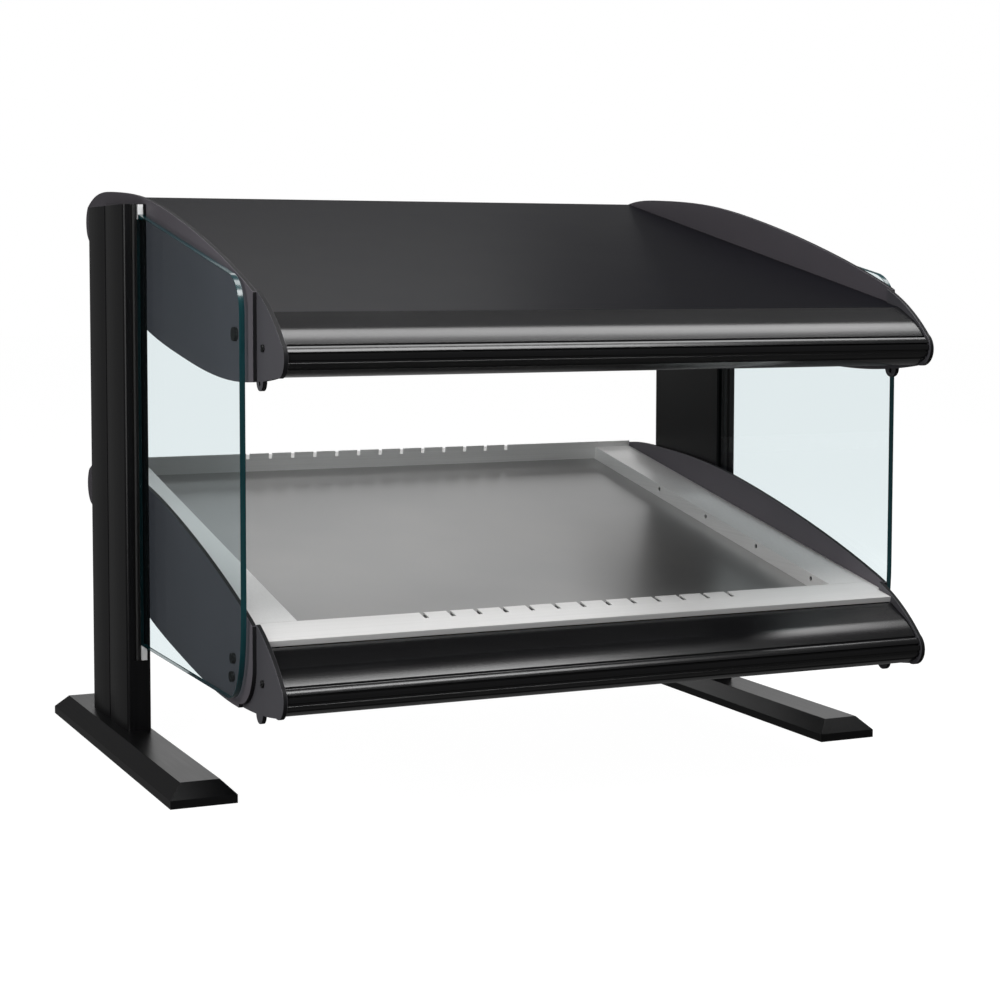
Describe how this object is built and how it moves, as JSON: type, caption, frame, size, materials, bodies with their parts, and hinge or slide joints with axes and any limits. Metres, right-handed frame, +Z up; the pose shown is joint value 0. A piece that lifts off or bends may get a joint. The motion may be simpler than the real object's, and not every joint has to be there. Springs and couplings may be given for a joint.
{
  "type": "heated display shelf",
  "caption": "countertop heated display shelf: a sloping heated deck with divider rails under a sloping heated canopy, on two posts with feet and glass sides",
  "frame": {"origin": "centre of the bounding box on the counter plane", "axes": "+Z up, +X to the right of someone facing the front, +Y to the back"},
  "size_m": [0.721, 0.6342, 0.543],
  "materials": {
    "black_anodised": "satin black anodised extrusion",
    "black_paint": "satin black powder coat",
    "black_plastic": "fine-textured black moulding",
    "stainless": "brushed stainless sheet",
    "hardcoat": "grey hard-coated heated plate",
    "glass": "tempered glass, polished edges",
    "clear_plastic": "milky clear plastic",
    "rubber": "black rubber",
    "plated_steel": "zinc-plated steel",
    "element_sheath": "oxidised metal sheath",
    "reflector": "bright aluminium reflector",
    "ceramic": "unglazed white ceramic",
    "blanket": "glass fibre blanket",
    "board": "white circuit board",
    "rocker_plastic": "black gloss rocker"
  },
  "bodies": {
    "frame": {"canopy_bottom_pan": "black_paint", "canopy_glass_bumpers": "rubber", "canopy_heat_regulator": "black_plastic", "canopy_nose": "black_anodised", "canopy_rear_cover": "black_paint", "canopy_roof_panel": "black_paint", "canopy_side_bolts": "plated_steel", "cap_screws": "plated_steel", "element_guard": "plated_steel", "element_insulators": "ceramic", "foot_screws": "plated_steel", "front_divider_rail": "stainless", "glazing_strips": "rubber", "heated_plate": "hardcoat", "heating_blanket": "blanket", "infrared_element": "element_sheath", "insulation": "blanket", "left_canopy_end_cap": "black_plastic", "left_canopy_side_plate": "black_paint", "left_deck_bracket": "black_paint", "left_foot": "black_anodised", "left_glass": "glass", "left_post": "black_anodised", "left_shelf_end_cap": "black_plastic", "left_shelf_side_plate": "black_paint", "left_side_rail": "stainless", "light_board": "board", "light_housing": "plated_steel", "light_lens": "clear_plastic", "light_switch_body": "black_plastic", "lower_glass_stops": "clear_plastic", "plate_sensor": "plated_steel", "power_inlet_gland": "black_plastic", "power_switch_body": "black_plastic", "rear_divider_rail": "stainless", "reflector": "reflector", "right_canopy_end_cap": "black_plastic", "right_canopy_side_plate": "black_paint", "right_deck_bracket": "black_paint", "right_foot": "black_anodised", "right_glass": "glass", "right_post": "black_anodised", "right_shelf_end_cap": "black_plastic", "right_shelf_side_plate": "black_paint", "right_side_rail": "stainless", "shelf_bottom_pan": "black_paint", "shelf_glass_bumpers": "rubber", "shelf_heat_regulator": "black_plastic", "shelf_nose": "black_anodised", "shelf_rear_cover": "black_paint", "shelf_side_bolts": "plated_steel", "terminal_block": "black_plastic", "upper_glass_stops": "clear_plastic"},
    "shelf_heat_knob": {"shelf_heat_knob": "black_plastic", "shelf_heat_shaft": "plated_steel"},
    "canopy_heat_knob": {"canopy_heat_knob": "black_plastic", "canopy_heat_shaft": "plated_steel"},
    "power_rocker": {"power_rocker": "rocker_plastic"},
    "light_rocker": {"light_rocker": "rocker_plastic"}
  },
  "joints": [
    {"name": "shelf_heat_turn", "type": "hinge", "parent": "frame", "child": "shelf_heat_knob", "pos_m": [-0.15, 0.28956, 0.2305], "axis": [0, -1, 0], "range_deg": [0, 270]},
    {"name": "canopy_heat_turn", "type": "hinge", "parent": "frame", "child": "canopy_heat_knob", "pos_m": [-0.2, 0.28956, 0.2305], "axis": [0, -1, 0], "range_deg": [0, 270]},
    {"name": "power_switch", "type": "hinge", "parent": "frame", "child": "power_rocker", "pos_m": [-0.25, 0.28326, 0.2305], "axis": [1, 0, 0], "range_deg": [0, 16]},
    {"name": "light_switch", "type": "hinge", "parent": "frame", "child": "light_rocker", "pos_m": [-0.278, 0.28326, 0.2305], "axis": [1, 0, 0], "range_deg": [0, 16]}
  ]
}
